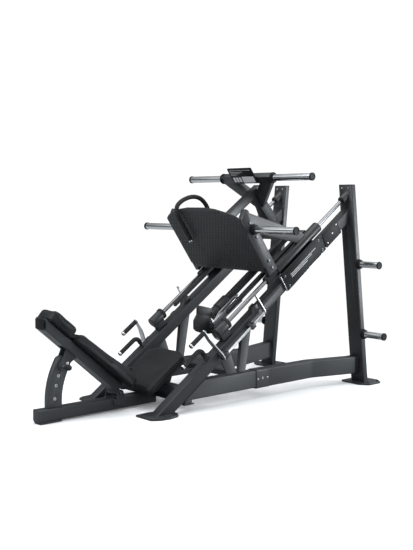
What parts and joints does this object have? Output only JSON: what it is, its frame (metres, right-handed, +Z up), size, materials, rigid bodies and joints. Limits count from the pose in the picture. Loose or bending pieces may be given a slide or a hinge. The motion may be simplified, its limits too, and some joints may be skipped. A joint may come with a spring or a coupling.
{
  "type": "leg press machine",
  "caption": "Sloping plate-loaded leg press with sliding foot plate sled, padded reclining seat, guide rods, release levers and plate horns.",
  "frame": {"origin": "centre of the machine's footprint box, on the floor", "axes": "+Z up; +Y from the head end to the uprights; +X to the seated user's right"},
  "size_m": [1.616, 2.698, 1.6358],
  "materials": {
    "frame_paint": "fine textured anthracite powder coat",
    "sector_paint": "powder coat, lighter where the light falls on it",
    "backrest_paint": "fine textured anthracite powder coat",
    "sled_paint": "fine textured anthracite powder coat",
    "housing_paint": "satin powder coat",
    "shoe_rubber": "moulded matt rubber",
    "bumper_rubber": "moulded matt rubber",
    "grip_rubber": "soft matt grip sleeve",
    "rod_chrome": "hard chrome, ground",
    "horn_chrome": "bright chrome with black caps and collars",
    "upholstery": "black coated upholstery with stitched edges",
    "pin_steel": "zinc-plated steel",
    "lever_steel": "zinc-plated steel",
    "bearing_steel": "ground bearing steel",
    "knob_plastic": "moulded black plastic",
    "cover_plastic": "moulded black cover",
    "placard_plastic": null,
    "tread_plate": "black tread with small raised ovals"
  },
  "bodies": {
    "frame": {"base_beam": "frame_paint", "front_cross_member": "frame_paint", "rear_cross_member": "frame_paint", "seat_frame": "frame_paint", "front_foot_right": "frame_paint", "front_foot_left": "frame_paint", "rail_right": "frame_paint", "rail_left": "frame_paint", "side_beam_front_right": "frame_paint", "side_beam_front_left": "frame_paint", "side_beam_rear_right": "frame_paint", "side_beam_rear_left": "frame_paint", "upright_right": "frame_paint", "upright_left": "frame_paint", "rear_foot_right": "frame_paint", "rear_foot_left": "frame_paint", "lower_rod_block_right": "frame_paint", "lower_rod_block_left": "frame_paint", "adjustment_sector": "sector_paint", "base_shoe": "shoe_rubber", "bumper_right": "bumper_rubber", "bumper_left": "bumper_rubber", "guide_rod_right": "rod_chrome", "guide_rod_left": "rod_chrome", "storage_horn_upper_right": "horn_chrome", "storage_horn_upper_left": "horn_chrome", "storage_horn_lower_right": "horn_chrome", "storage_horn_lower_left": "horn_chrome", "hand_grip_right": "grip_rubber", "hand_grip_left": "grip_rubber", "seat_pad": "upholstery", "backrest_pivot_pin": "pin_steel"},
    "sled": {"foot_plate": "tread_plate", "sled_top_frame": "sled_paint", "buffer_leg": "sled_paint", "top_horn_bar": "horn_chrome", "placard": "placard_plastic", "hook_handle": "grip_rubber", "sled_side_frame_right": "sled_paint", "sled_side_frame_left": "sled_paint", "rod_housing_right": "housing_paint", "rod_housing_left": "housing_paint", "linear_bearing_lower_right": "bearing_steel", "linear_bearing_lower_left": "bearing_steel", "linear_bearing_upper_right": "bearing_steel", "linear_bearing_upper_left": "bearing_steel", "side_cover_right": "cover_plastic", "side_cover_left": "cover_plastic", "sled_horn_right": "horn_chrome", "sled_horn_left": "horn_chrome"},
    "backrest": {"backrest_beam": "backrest_paint", "head_pad": "upholstery", "back_pad": "upholstery"},
    "lock_pin": {"pull_pin": "knob_plastic"},
    "right_lever": {"lever_arm_right": "lever_steel", "lever_grip_right": "grip_rubber"},
    "left_lever": {"lever_arm_left": "lever_steel", "lever_grip_left": "grip_rubber"},
    "safety_stop": {"stop_block": "knob_plastic", "stop_link": "lever_steel"}
  },
  "joints": [
    {"name": "sled_slide", "type": "slide", "parent": "frame", "child": "sled", "axis": [0, 0.8192, 0.5736], "range_m": [-0.29, 0.33]},
    {"name": "backrest_tilt", "type": "hinge", "parent": "frame", "child": "backrest", "pos_m": [0, -0.746, 0.122], "axis": [1, 0, 0], "range_deg": [0, 10]},
    {"name": "lock_pin_pull", "type": "slide", "parent": "backrest", "child": "lock_pin", "axis": [1, 0, 0], "range_m": [0, 0.015]},
    {"name": "right_lever_swing", "type": "hinge", "parent": "frame", "child": "right_lever", "pos_m": [0.427, 0.0187, 0.46161], "axis": [0, 0.8192, 0.5736], "range_deg": [0, 55]},
    {"name": "left_lever_swing", "type": "hinge", "parent": "frame", "child": "left_lever", "pos_m": [-0.427, 0.0187, 0.46161], "axis": [0, -0.8192, -0.5736], "range_deg": [0, 55]},
    {"name": "safety_stop_turn", "type": "hinge", "parent": "frame", "child": "safety_stop", "pos_m": [0.25, -0.09527, 0.51976], "axis": [-1, 0, 0], "range_deg": [0, 18]}
  ],
  "couplings": [
    {"joint": "safety_stop_turn", "follows": "right_lever_swing", "ratio": 0.32}
  ]
}
